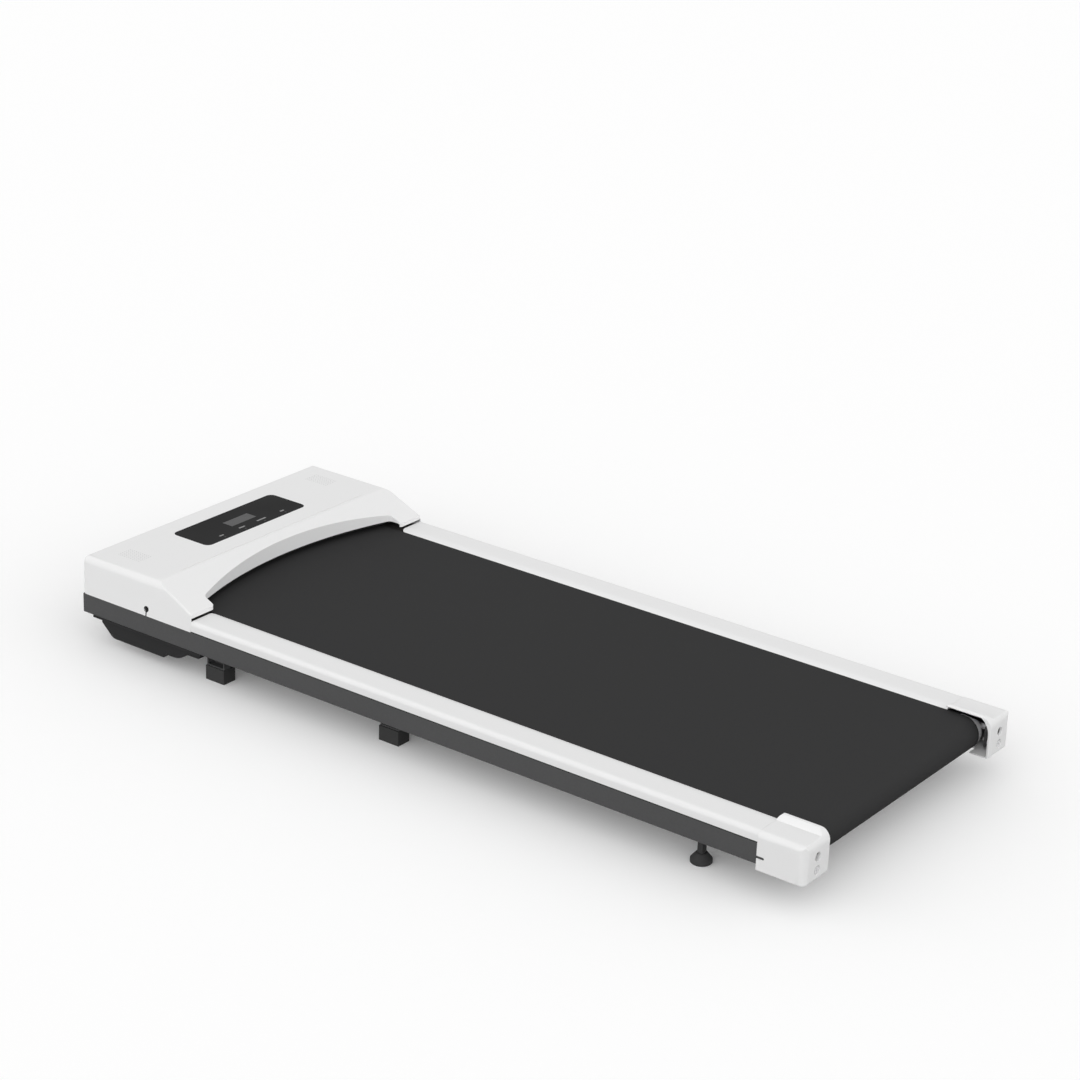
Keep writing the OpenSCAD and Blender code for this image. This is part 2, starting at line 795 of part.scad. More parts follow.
// Rounds the wing tips as seen from above, over the hood's lower rear edge only
module tip_corners() {
  translate([0, 0, hood_lip_z - fine]) linear_extrude(hood_top_z) {
    corner_bite([hood_back, wing_gap / 2, -1, 1], tip_inner_r);
    corner_bite([hood_back, tip_side, -1, -1], tip_outer_r);
    translate([hood_back - tip_outer_r, tip_side]) square([tip_outer_r + 1, 3]);
  }
}

// Shallow straight groove where the flat top meets the slope
module crest_groove() {
  block(crest_x - groove_w / 2, crest_x + groove_w / 2, -groove_l / 2, groove_l / 2,
    hood_top_z - groove_depth, hood_top_z + 1);
}

// Rounds the edge between the slope and a side, along the line where the two planes meet
module slope_edge() {
  r = slope_edge_r;
  lean = asin(cos(slope_angle) * sin(draft_angle));
  turn = atan(sin(slope_angle) * tan(draft_angle));
  t = r * (1 - sin(lean)) / cos(lean);
  crest_end = crest_x + hood_crest_r * tan(slope_angle / 2);
  translate([crest_end, rail_out - hood_draft, hood_top_z]) rotate([0, slope_angle, 0])
    rotate([0, 0, turn]) rotate([90, 0, 90]) linear_extrude(hood_l) difference() {
      polygon([[-t, 2], [3, 2], [3, -t * cos(lean)], [t * sin(lean), -t * cos(lean)], [-t, -r]]);
      translate([-t, -r]) circle(r + fine);
    }
}

arch_c = hood_back - arch_depth + arch_r;
arch_lip_z = hood_lip_z + arch_lip;
arch_h = hood_top_z + 1 - arch_lip_z;

// Space over the belt that the hood leaves open; its curved wall leans out over the belt
module arch_region(grow, z0) {
  intersection() {
    translate([arch_c, 0, z0])
      cylinder(r1 = arch_r + arch_lean + grow, r2 = arch_r + grow, h = hood_top_z + 1 - z0);
    block(hood_back - arch_depth - 30, hood_back + 30, -wing_gap / 2 - grow, wing_gap / 2 + grow,
      z0, hood_top_z + 1);
  }
}

// Rounding between the arch and a wing tip, leaning with the arch
module arch_corner() {
  r = arch_corner_r;
  mid_r = arch_r + arch_lean * 0.75;
  fc_y = wing_gap / 2 - r;
  fc_x = arch_c - sqrt((mid_r - r) * (mid_r - r) - fc_y * fc_y);
  touch = atan2(fc_y, arch_c - fc_x);
  lean = atan(arch_lean / arch_h * 1.07);
  translate([fc_x, fc_y, arch_lip_z + arch_h * 0.25]) rotate([0, lean, 0])
    translate([0, 0, -arch_h]) linear_extrude(2 * arch_h) difference() {
      polygon([[0, 0], [0, r + 1], [-r - 8, r + 1], [-r - 8, r * 0.6 + 2],
        [-(r + 2) * cos(touch), (r + 2) * sin(touch)]]);
      circle(r);
    }
}

module hood_shell() {
  difference() {
    hood_body(0);
    difference() {
      hood_body(hood_wall);
      arch_region(hood_wall, arch_lip_z - fine);
      block(hood_back - hood_wall, hood_back + 1, -rail_out, rail_out, hood_lip_z, hood_top_z);
    }
    block(hood_front + 60, hood_back + 1, -rail_out + hood_wall, rail_out - hood_wall,
      rail_top - 1, hood_lip_z);
    block(hood_front + 60, hood_back + 1, -wing_gap / 2, wing_gap / 2, rail_top - 1, arch_lip_z);
    difference() {
      arch_region(0, arch_lip_z - fine);
      both_sides() arch_corner();
    }
  }
}

module panel_outline(clear) {
  round_rect(panel_c - panel_w / 2 - clear, panel_c + panel_w / 2 + clear,
    -panel_l / 2 - clear, panel_l / 2 + clear, [panel_r, panel_r, panel_r, panel_r]);
}

module window_outline(clear) {
  translate([panel_c - window_w / 2 - clear, window_y - window_l / 2 - clear])
    square([window_w + 2 * clear, window_l + 2 * clear]);
}

module keyhole() {
  rod_y(hood_tab_x, keyhole_z, 2 * keyhole_r, rail_out - 6, rail_out + 1);
  block(hood_tab_x - keyhole_slot / 2, hood_tab_x + keyhole_slot / 2, rail_out - 6, rail_out + 1,
    rail_top - 1, keyhole_z);
}

// Shallow tray in the front wall that carries the mains socket, the switch and the breaker
module port_tray(grow, x0, x1) {
  along_x(x0, x1) round_rect(inlet_y - 19 - grow, breaker_y + 12 + grow,
    port_z - 18 - grow, port_z + 18 + grow, [3, 3, 3, 3]);
}

module motor_hood() {
  color("whitesmoke") difference() {
    union() {
      hood_shell();
      port_tray(2, hood_front + 1, port_x + 2.5);
    }
    port_tray(0, hood_front - 1, port_x);
    translate([0, 0, hood_top_z - panel_t]) linear_extrude(panel_t + 1) panel_outline(0.2);
    translate([0, 0, hood_top_z - hood_wall - 1]) linear_extrude(hood_wall + 2)
      window_outline(-1);
    both_sides() keyhole();
    both_sides() tip_corners();
    both_sides() slope_edge();
    crest_groove();
    block(hood_front - 1, port_x + 4, inlet_y - 13.7, inlet_y + 13.7, port_z - 10, port_z + 10);
    block(hood_front - 1, port_x + 4, switch_y - 10, switch_y + 10,
      port_z - 13.5, port_z + 13.5);
    rod_x(breaker_y, port_z, 12, hood_front - 1, port_x + 4);
  }
}

module control_panel() {
  color("black") translate([0, 0, hood_top_z - panel_t]) linear_extrude(panel_t) difference() {
    panel_outline(0);
    window_outline(0);
  }
}

module display_window() {
  color("dimgray") translate([0, 0, hood_top_z - panel_t]) linear_extrude(panel_t)
    window_outline(-0.1);
}

display_drop = 7;

// Circuit board with the digit block that shows through the window
module display_board() {
  board_z = hood_top_z - hood_wall - display_drop;
  color("darkgreen") {
    translate([panel_c - 26, -panel_l / 2 + 14, board_z - 1.6]) cube([52, panel_l - 28, 1.6]);
    translate([panel_c - window_w / 2 + 1.2, window_y - window_l / 2 + 1.2, board_z])
      cube([window_w - 2.4, window_l - 2.4, display_drop + hood_wall - panel_t - 0.1]);
    for (x = [-21, 21], y = [-panel_l / 2 + 20, panel_l / 2 - 20]) translate([panel_c + x, y, board_z])
      cylinder(d = 6, h = display_drop);
  }
}

speaker_y = rail_out - 52.9;
speaker_x = front_x + 55.5;

module speaker() {
  rim_z = hood_top_z - hood_wall;
  color("dimgray") difference() {
    union() {
      translate([0, 0, rim_z - 3]) linear_extrude(3)
        round_rect(speaker_x - 20, speaker_x + 20, speaker_y - 14, speaker_y + 14, [5, 5, 5, 5]);
      translate([speaker_x, speaker_y, rim_z - 9]) cylinder(d1 = 16, d2 = 25, h = 6.5);
      translate([speaker_x, speaker_y, rim_z - 13]) cylinder(d = 20, h = 4.5);
    }
    translate([speaker_x, speaker_y, rim_z - 5]) cylinder(d1 = 10, d2 = 23, h = 5.1);
  }
}

module hood_screw() {
  color("black") {
    rod_y(hood_tab_x, keyhole_z, hood_screw_d, hood_tab_y + 1, hood_tab_y + 4.4);
    rod_y(hood_tab_x, keyhole_z, 3.9, hood_tab_y - 5, hood_tab_y + 2);
  }
}

// Motor bay

cradle_y0 = motor_y0 + 18;
cradle_y1 = motor_y0 + motor_l - 18;
base_z = rail_z + 4;
bell_l = 12;

module motor_housing() {
  y1 = motor_y0 + motor_l;
  color("dimgray") difference() {
    union() {
      rod_y(motor_c, motor_z, motor_d, motor_y0 + bell_l, y1 - bell_l);
      rod_y(motor_c, motor_z, motor_d - 3, motor_y0, y1);
      rod_y(motor_c, motor_z, 24, y1 - 1, y1 + 4);
    }
    rod_y(motor_c, motor_z, motor_shaft_d + 2 * bearing_fit, motor_y0 - 1, y1 + 5);
    rod_y(motor_c, motor_z, motor_d - 14, motor_y0 + 8, y1 - 8);
    for (a = [30 : 60 : 330]) translate([motor_c, 0, motor_z]) rotate([0, a, 0])
      block(-4, 4, y1 - 9, y1 + 1, motor_d / 2 - 11, motor_d / 2 - 6);
  }
}

module motor_rotor() {
  y1 = motor_y0 + motor_l;
  color("silver") {
    rod_y(motor_c, motor_z, motor_shaft_d, motor_y0 - 14, pulley_y + pulley_w);
    rod_y(motor_c, motor_z, motor_d - 18, motor_y0 + 14, y1 - 14);
  }
}

module motor_pulley() {
  color("silver") difference() {
    ribbed_pulley(motor_c, motor_z, motor_pulley_d, pulley_y, motor_shaft_d / 2 + 3);
    rod_y(motor_c, motor_z, motor_shaft_d, pulley_y - 3, pulley_y + pulley_w + 1);
  }
}

fan_blades = 9;

module cooling_fan() {
  y0 = motor_y0 - 13;
  color("black") difference() {
    union() {
      rod_y(motor_c, motor_z, 22, y0, y0 + 10);
      rod_y(motor_c, motor_z, motor_d - 6, y0 + 8.5, y0 + 10);
      for (i = [0 : fan_blades - 1]) translate([motor_c, 0, motor_z])
        rotate([0, i * 360 / fan_blades, 0])
          block(-0.9, 0.9, y0, y0 + 9, 10, motor_d / 2 - 4);
    }
    rod_y(motor_c, motor_z, motor_shaft_d, y0 - 1, y0 + 11);
  }
}

// Sheet metal saddle under the motor
module motor_cradle() {
  half = motor_d / 2 - 4;
  color("gray") difference() {
    block(motor_c - half, motor_c + half, cradle_y0, cradle_y1, base_z + 2, motor_z - 14);
    rod_y(motor_c, motor_z, motor_d, cradle_y0 - 1, cradle_y1 + 1);
    block(motor_c - half - 1, motor_c + half + 1, cradle_y0 + 4, cradle_y1 - 4,
      base_z + 5, motor_z);
  }
}

module base_plate() {
  color("gray") difference() {
    block(rail_front + cross_w, drive_c - belt_out_r - 4, -rail_in, rail_in, base_z, base_z + 2);
    for (y = [-180 : 60 : 60], x = [34, 66])
      translate([rail_front + x, y, base_z - 1]) cylinder(d = 9, h = 4);
    block(rail_front + 70, drive_c, pulley_y - 3, pulley_y + pulley_w + 3, base_z - 1, base_z + 3);
  }
}

module drive_belt() {
  a = [motor_c, motor_z];
  b = [drive_c, roller_z];
  ra = motor_pulley_d / 2 + run_gap;
  rb = roller_pulley_d / 2 + run_gap;
  flange = 1.6 + run_gap;
  color("black") along_y(pulley_y + flange, pulley_y + pulley_w - flange) difference() {
    tangent_loop(a, ra + 1.6, b, rb + 1.6);
    tangent_loop(a, ra, b, rb);
  }
}

board_l = 140;
board_w = 74;
board_x0 = rail_front + 68;
board_x1 = board_x0 + board_w;
board_y0 = -rail_in + 116.4;
board_y1 = board_y0 + board_l;
board_t = 1.6;
board_hole = 4;
capacitor_d = 13;
relay_w = 24;
board_z = pan_z + pan_wall + 3;

module controller_board() {
  top = board_z + board_t - 0.1;
  color("darkgreen") difference() {
    union() {
      block(board_x0, board_x1, board_y0, board_y1, board_z, board_z + board_t);
      for (i = [0 : 2]) translate([board_x0 + 12, board_y0 + 16 + 18 * i, top])
        cylinder(d = capacitor_d, h = capacitor_d);
      block(board_x0 + 28, board_x0 + 50, board_y0 + 8, board_y0 + 8 + relay_w, top, top + 11.5);
      block(board_x0 + 30, board_x0 + 46, board_y0 + 42, board_y0 + 60, top, top + 10.5);
      for (i = [1, 2]) block(board_x0 + 4, board_x0 + 14, board_y1 + 0.1 - 14 * i,
        board_y1 + 9.1 - 14 * i, top, top + 7.5);
    }
    for (x = [board_x0 + board_hole, board_x1 - board_hole],
        y = [board_y0 + board_hole, board_y1 - board_hole])
      translate([x, y, board_z - 1]) cylinder(d = 3.4, h = 4);
  }
}

heat_fins = 9;
heat_fin_t = 1.4;

module heat_sink() {
  y0 = board_y0 + board_l / 2;
  y1 = y0 + 36;
  step = (y1 - y0 - heat_fin_t) / (heat_fins - 1);
  x0 = board_x0 + 22;
  x1 = board_x1 - 8;
  foot = board_z + board_t;
  color("silver") {
    block(x0, x1, y0, y1, foot, foot + 3);
    for (i = [0 : heat_fins - 1])
      block(x0, x1, y0 + i * step, y0 + i * step + heat_fin_t, foot + 2.4, foot + 13.4);
  }
}

// Belly pan

function pan_arc(cx, cz, r, a0, a1, n) =
  [for (i = [0 : n]) let (a = a0 + (a1 - a0) * i / n) [cx + r * cos(a), cz + r * sin(a)]];

// Side profile of the pan: sloped nose, flat belly, screw notch, shallow bulge, rear tab
module pan_profile(inset) {
  bulge_r = 40;
  bulge_x = 139;
  bulge_z = 48.7;
  bulge_from = 260;
  bulge_to = 315;
  nose = rail_front + 32;
  polygon(concat(
    [[nose + inset, rail_z + 1], [nose + inset, rail_z - 9], [nose + 24.7 + inset * 0.4, pan_z + inset],
     [nose + 117.7 - inset * 0.4, pan_z + inset], [nose + 126.8 - inset * 0.4, pan_z + 10.4 + inset],
     [nose + 134.4, pan_z + 8.5 + inset]],
    pan_arc(nose + bulge_x, pan_z + bulge_z + inset, bulge_r, bulge_from, bulge_to, 8),
    [[nose + 189.6 - inset, pan_z + 20.6 + inset],
     [pan_back - 4 - inset, rail_z - flange_t], [pan_back - 4 - inset, rail_z + 1]]
  ));
}

wheel_slot = wheel_w / 2 + 1.5;
cheek_t = 3;

module belly_pan() {
  color("dimgray") difference() {
    union() {
      difference() {
        union() {
          intersection() {
            along_y(-pan_out, pan_out) pan_profile(0);
            along_x(pan_front, pan_back)
              round_rect(-pan_out, pan_out, pan_z, rail_z, [6, 6, 0, 0]);
          }
          block(pan_front, pan_back, -rail_out, rail_out, rail_z - flange_t, rail_z);
        }
        intersection() {
          along_y(-pan_out + pan_wall, pan_out - pan_wall) pan_profile(pan_wall);
          along_x(pan_front, pan_back)
            round_rect(-pan_out + pan_wall, pan_out - pan_wall, pan_z, rail_z - flange_t,
              [4, 4, 0, 0]);
        }
        block(rail_front + 34.5, pan_back - 8, -rail_in - 0.5, rail_in + 0.5,
          rail_z - flange_t - 1, rail_z + 1);
      }
      for (x = [board_x0 + board_hole, board_x1 - board_hole],
          y = [board_y0 + board_hole, board_y1 - board_hole])
        translate([x, y, pan_z + 1]) cylinder(d = 7, h = board_z - pan_z - 1);
      both_sides() wheel_cheeks();
      both_sides() for (p = pan_screw_at) pan_boss(p);
    }
    both_sides() {
      block(pan_front - 1, wheel_c + wheel_d / 2 + 2, wheel_y - wheel_slot, wheel_y + wheel_slot,
        pan_z - 1, rail_z - flange_t - 0.5);
      rod_y(wheel_c, wheel_z, 6 + 2 * bearing_fit, wheel_y - wheel_slot - cheek_t - 1,
        wheel_y + wheel_slot + cheek_t + 1);
      for (p = pan_screw_at) translate([p[0], pan_screw_y, 0]) {
        translate([0, 0, pan_z]) cylinder(d = pan_screw_d + 0.4, h = rail_z);
        cylinder(d = pan_head_d + 0.8, h = p[1]);
      }
    }
    block(pan_back - 30, pan_back + 1, -belt_w / 2 - 6, belt_w / 2 + 6,
      roller_z - belt_out_r - 2, rail_z + 1);
    block(front_foot_c - foot_l / 2 - 1, pan_back + 1, -rail_in - 0.6, rail_in + 0.6,
      pan_z, rail_z + 1);
  }
}

pan_screw_at = [
  [rail_front + 26, rail_z - flange_t], [rail_front + 160, pan_z + 8.5],
  [rail_front + 214, rail_z - flange_t]
];
pan_screw_y = rail_in + 6;
pan_screw_d = 4;
pan_head_d = 8;

// Pillar round a recessed screw, from the pan's floor up to the rail
module pan_boss(p) {
  if (p[0] > rail_front + 100) intersection() {
    translate([p[0], pan_screw_y, pan_z]) cylinder(d = pan_head_d + 4, h = rail_z - pan_z);
    union() {
      along_y(rail_in - 1, pan_out) pan_profile(0);
      if (p[1] < rail_z - flange_t - 1)
        block(p[0] - 8, p[0] + 8, rail_in - 1, pan_out, p[1], rail_z);
    }
  }
}

// Upright walls on both sides of a wheel that carry its axle
module wheel_cheeks() {
  for (s = [-1, 1])
    translate([0, wheel_y + s * (wheel_slot + cheek_t / 2), 0]) intersection() {
      along_y(-cheek_t / 2, cheek_t / 2) pan_profile(0);
      block(pan_front, wheel_c + wheel_d / 2 + 4, -cheek_t, cheek_t, pan_z, rail_z - flange_t);
    }
}

module pan_screw(p) {
  head_h = 2.2;
  color("black") {
    translate([p[0], pan_screw_y, p[1] - head_h]) cylinder(d = pan_head_d, h = head_h);
    translate([p[0], pan_screw_y, p[1] - 1]) cylinder(d = pan_screw_d, h = rail_z - p[1] + 5);
  }
}

// Mains side

module power_inlet() {
  inlet_shell();
  inlet_pins();
}

module inlet_shell() {
  x = port_x;
  color("black") difference() {
    union() {
      block(x - 0.01, x + 24, inlet_y - 13.4, inlet_y + 13.4, port_z - 9.8, port_z + 9.8);
      along_x(x - 2, x)
        round_rect(inlet_y - 15.5, inlet_y + 15.5, port_z - 12, port_z + 12, [2, 2, 2, 2]);
    }
    block(x - 3, x + 15, inlet_y - 12, inlet_y + 12, port_z - 8, port_z + 8);
  }
}

module inlet_pins() {
  x = port_x;
  color("silver") for (p = [[-7, -2], [0, 2], [7, -2]])
    block(x + 3, x + 29, inlet_y + p[0] - 1, inlet_y + p[0] + 1,
      port_z + p[1] - 2, port_z + p[1] + 2);
}

rocker_pivot_x = port_x + 4.5;

module switch_housing() {
  x = port_x;
  color("black") difference() {
    union() {
      block(x - 0.01, x + 18, switch_y - 9.7, switch_y + 9.7, port_z - 13.2, port_z + 13.2);
      along_x(x - 1.8, x)
        round_rect(switch_y - 11.5, switch_y + 11.5, port_z - 15, port_z + 15, [2, 2, 2, 2]);
    }
    block(x - 3, x + 12, switch_y - 7.7, switch_y + 7.7, port_z - 11.7, port_z + 11.7);
    rod_y(rocker_pivot_x, port_z, 3 + 2 * bearing_fit, switch_y - 9.2, switch_y + 9.2);
  }
}

// Two-way key: its face is two flat halves that meet at a shallow angle
module power_rocker() {
  reach = 10.6;
  x = rocker_pivot_x;
  z = port_z;
  color("black") {
    along_y(switch_y - 7.3, switch_y + 7.3)
      polygon([[x + 1, z - reach], [x - 5.6, z - reach + 0.8], [x - 4.2, z],
        [x - 5.6, z + reach - 0.8], [x + 1, z + reach], [x + 3, z + 3], [x + 3, z - 3]]);
    rod_y(x, z, 3, switch_y - 9, switch_y + 9);
  }
}

module breaker_body() {
  x = port_x;
  color("black") difference() {
    union() {
      rod_x(breaker_y, port_z, 11.6, x, x + 8);
      rod_x(breaker_y, port_z, 16, x - 2, x);
      block(x + 6, x + 22, breaker_y - 8, breaker_y + 8, port_z - 11, port_z + 11);
    }
    rod_x(breaker_y, port_z, 6.8, x - 3, x + 10);
  }
}

module reset_button() {
  color("white") rod_x(breaker_y, port_z, 6.2, port_x - 3.8, port_x + 6);
}

// Feet and wheels

module block_foot(c, outer_y) {
  color("black") difference() {
    along_x(c - foot_l / 2, c + foot_l / 2)
      round_rect(outer_y - foot_w, outer_y, 0, foot_h, [1, 1, 0.6, 0.6]);
    translate([c, outer_y - foot_w / 2, -1]) cylinder(d = 9, h = 9);
  }
}

// Round rubber pad with a cone above it and a square post that slides in the rail's sleeve
module levelling_foot() {
  rim_h = 6;
  cone_h = 8.5;
  post_top = rail_z + 14;
  color("black") {
    translate([pad_c, pad_y, 0]) {
      cylinder(d1 = pad_d - 2.4, d2 = pad_d, h = 1.2);
      translate([0, 0, 1.2]) cylinder(d = pad_d, h = rim_h - 1.2);
      translate([0, 0, rim_h]) cylinder(d1 = pad_d, d2 = 15, h = cone_h);
    }
    block(pad_c - foot_post_l / 2, pad_c + foot_post_l / 2, pad_y - foot_post_w / 2,
      pad_y + foot_post_w / 2, rim_h, post_top);
  }
}

module transport_wheel() {
  color("black") translate([wheel_c, wheel_y - wheel_w / 2, wheel_z]) rotate([-90, 0, 0])
    rotate_extrude() difference() {
      translate([3 + bearing_fit, 0]) square([wheel_d / 2 - 3 - bearing_fit, wheel_w]);
      for (v = [0, wheel_w]) translate([wheel_d / 2, v]) rotate(45) square(1.6, center = true);
      for (v = [-1, wheel_w - 1.5]) translate([6, v]) square([wheel_d / 2 - 9, 2.5]);
    }
}

module wheel_axle() {
  color("gray") rod_y(wheel_c, wheel_z, 6, wheel_y - wheel_slot - cheek_t, wheel_y + wheel_slot + cheek_t);
}

left_side() side_rail();  // side_rail_left
side_rail();  // side_rail_right
front_beam();
cross_tube(rail_front + cross_front);  // cross_tube_front
cross_tube(rail_front + cross_middle);  // cross_tube_middle
cross_tube(back_x - cross_rear);  // cross_tube_rear
left_side() axle_carrier();  // axle_carrier_left
axle_carrier();  // axle_carrier_right
left_side() tension_bolt();  // tension_bolt_left
tension_bolt();  // tension_bolt_right
roller(tail_c, tail_tube_l);  // tail_roller
roller_bearings(tail_c, tail_tube_l);  // tail_roller_bearings
tail_axle();
roller(drive_c, drive_tube_l);  // drive_roller
roller_bearings(drive_c, drive_tube_l);  // drive_roller_bearings
drive_axle();
roller_pulley();
walking_belt();
deck_board();
left_side() deck_strip();  // deck_strip_left
deck_strip();  // deck_strip_right
left_side() foot_rail();  // foot_rail_left
foot_rail();  // foot_rail_right
left_side() end_cap();  // end_cap_left
end_cap();  // end_cap_right
both_sides() cap_screw();  // cap_screws
motor_hood();
control_panel();
display_window();
display_board();
left_side() speaker();  // speaker_left
speaker();  // speaker_right
motor_housing();
motor_rotor();
motor_pulley();
cooling_fan();
motor_cradle();
drive_belt();
base_plate();
controller_board();
heat_sink();
belly_pan();
both_sides() for (p = pan_screw_at) pan_screw(p);  // pan_screws
power_inlet();
switch_housing();
power_rocker();
breaker_body();
reset_button();
left_side() block_foot(front_foot_c, rail_in);  // front_foot_left
block_foot(front_foot_c, rail_in);  // front_foot_right
left_side() block_foot(middle_foot_c, rail_in + middle_foot_inset);  // middle_foot_left
block_foot(middle_foot_c, rail_in + middle_foot_inset);  // middle_foot_right
left_side() levelling_foot();  // levelling_foot_left
levelling_foot();  // levelling_foot_right
left_side() transport_wheel();  // transport_wheel_left
transport_wheel();  // transport_wheel_right
both_sides() wheel_axle();  // wheel_axles
both_sides() hood_screw();  // hood_screws
both_sides() for (x = deck_screw_x) deck_screw(x);  // deck_screws
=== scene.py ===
import json
import math

import bmesh
import bpy
from mathutils import Matrix, Vector


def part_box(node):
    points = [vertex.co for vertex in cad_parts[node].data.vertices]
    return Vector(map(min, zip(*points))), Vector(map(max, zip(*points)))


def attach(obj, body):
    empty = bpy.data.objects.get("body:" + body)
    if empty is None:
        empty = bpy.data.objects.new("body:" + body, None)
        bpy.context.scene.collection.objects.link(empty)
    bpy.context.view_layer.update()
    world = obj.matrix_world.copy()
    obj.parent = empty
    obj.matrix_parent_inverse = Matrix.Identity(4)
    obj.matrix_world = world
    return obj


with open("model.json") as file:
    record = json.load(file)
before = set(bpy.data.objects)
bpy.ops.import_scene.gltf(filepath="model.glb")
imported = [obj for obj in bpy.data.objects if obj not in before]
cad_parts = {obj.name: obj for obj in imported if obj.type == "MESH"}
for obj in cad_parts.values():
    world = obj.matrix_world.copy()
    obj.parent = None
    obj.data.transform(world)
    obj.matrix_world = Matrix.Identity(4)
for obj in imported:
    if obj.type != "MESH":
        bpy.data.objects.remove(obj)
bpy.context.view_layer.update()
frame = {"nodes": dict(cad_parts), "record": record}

nodes = frame["nodes"]
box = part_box

# The part's own frame, in metres: X to the tail, Y to the right, Z up from the floor.
FRONT = box("motor_hood")[0].x
RAIL_TOP = box("motor_hood")[0].z
HOOD_TOP = box("motor_hood")[1].z
RAIL_SIDE = box("side_rail_right")[1].y
PANEL_TOP = box("control_panel")[1].z
SIDES = ((-1, "left"), (1, "right"))

# Height of flat marks over the face that they lie on
PRINT = 0.00002


# Materials

PATCHES = 9.0        # cells of the slow variation in a metre
GRAIN = 400.0        # cells of the fine variation in a metre
ROUGH_SPREAD = 0.05  # change of roughness, up and down


def new_material(name):
    """An empty material that shows one principled shader."""
    mat = bpy.data.materials.new(name)
    mat.use_nodes = True
    tree = mat.node_tree
    tree.nodes.clear()
    out = tree.nodes.new("ShaderNodeOutputMaterial")
    shader = tree.nodes.new("ShaderNodeBsdfPrincipled")
    tree.links.new(shader.outputs["BSDF"], out.inputs["Surface"])
    return mat, tree, shader


def finish_material(name, colour, rough, metal=0.0, spread=0.03, bump=0.0,
                    bump_scale=900.0, specular=0.5, stretch=None):
    """Colour with a slow and a fine variation, a varied roughness and a fine grain."""
    mat, tree, shader = new_material(name)
    new, link = tree.nodes.new, tree.links.new
    coord = new("ShaderNodeTexCoord")
    source = coord.outputs["Object"]
    if stretch:
        mapping = new("ShaderNodeMapping")
        mapping.inputs["Scale"].default_value = stretch
        link(source, mapping.inputs["Vector"])
        source = mapping.outputs["Vector"]
    slow = new("ShaderNodeTexNoise")
    slow.inputs["Scale"].default_value = PATCHES
    slow.inputs["Detail"].default_value = 3.0
    link(source, slow.inputs["Vector"])
    fine = new("ShaderNodeTexNoise")
    fine.inputs["Scale"].default_value = GRAIN
    fine.inputs["Detail"].default_value = 4.0
    link(source, fine.inputs["Vector"])
    both = new("ShaderNodeMath")
    both.operation = "ADD"
    link(slow.outputs["Fac"], both.inputs[0])
    link(fine.outputs["Fac"], both.inputs[1])
    shade = new("ShaderNodeMapRange")
    shade.inputs["From Min"].default_value = 0.5
    shade.inputs["From Max"].default_value = 1.5
    shade.inputs["To Min"].default_value = 1.0 - spread
    shade.inputs["To Max"].default_value = 1.0 + spread
    link(both.outputs[0], shade.inputs["Value"])
    tint = new("ShaderNodeVectorMath")
    tint.operation = "SCALE"
    tint.inputs[0].default_value = colour
    link(shade.outputs["Result"], tint.inputs["Scale"])
    link(tint.outputs[0], shader.inputs["Base Color"])
    wear = new("ShaderNodeMapRange")
    wear.inputs["From Min"].default_value = 0.3
    wear.inputs["From Max"].default_value = 0.7
    wear.inputs["To Min"].default_value = rough - ROUGH_SPREAD
    wear.inputs["To Max"].default_value = rough + ROUGH_SPREAD
    link(slow.outputs["Fac"], wear.inputs["Value"])
    link(wear.outputs["Result"], shader.inputs["Roughness"])
    shader.inputs["Metallic"].default_value = metal
    shader.inputs["Specular IOR Level"].default_value = specular
    if bump:
        grit = new("ShaderNodeTexNoise")
        grit.inputs["Scale"].default_value = bump_scale
        grit.inputs["Detail"].default_value = 3.0
        link(source, grit.inputs["Vector"])
        relief = new("ShaderNodeBump")
        relief.inputs["Strength"].default_value = 1.0
        relief.inputs["Distance"].default_value = bump
        link(grit.outputs["Fac"], relief.inputs["Height"])
        link(relief.outputs["Normal"], shader.inputs["Normal"])
    return mat


MATS = {
    "white_plastic": finish_material("white_plastic", (0.80, 0.80, 0.80), 0.48, spread=0.012,
                                     bump=0.00002, bump_scale=1500, specular=0.15),
    "black_steel": finish_material("black_steel", (0.070, 0.070, 0.071), 0.5, spread=0.1,
                                   bump=0.00003, bump_scale=1800, specular=0.2),
    "bare_steel": finish_material("bare_steel", (0.56, 0.56, 0.57), 0.32, metal=1.0,
                                  spread=0.05, stretch=(1, 0.05, 1)),
    "belt_rubber": finish_material("belt_rubber", (0.0395, 0.0395, 0.040), 0.75, spread=0.05,
                                   bump=0.00005, bump_scale=1200, specular=0.02),
    "deck_wood": finish_material("deck_wood", (0.045, 0.042, 0.04), 0.6, spread=0.15,
                                 stretch=(0.1, 1, 1), specular=0.2),
    "foot_rubber": finish_material("foot_rubber", (0.045, 0.045, 0.045), 0.65, spread=0.1,
                                   bump=0.00004, specular=0.15),
    "black_plastic": finish_material("black_plastic", (0.022, 0.022, 0.0225), 0.55, spread=0.08,
                                     bump=0.00003, specular=0.12),
    "panel_film": finish_material("panel_film", (0.016, 0.016, 0.0163), 0.4, spread=0.04,
                                  specular=0.02),
    "window_film": finish_material("window_film", (0.088, 0.088, 0.089), 0.35, spread=0.04,
                                   specular=0.06),
    "circuit_board": finish_material("circuit_board", (0.03, 0.16, 0.07), 0.4, spread=0.1),
    "bare_aluminium": finish_material("bare_aluminium", (0.7, 0.7, 0.71), 0.35, metal=1.0,
                                      spread=0.05),
}

slot_of = {s["node"]: s["material_slot"] for s in frame["record"]["subparts"]}

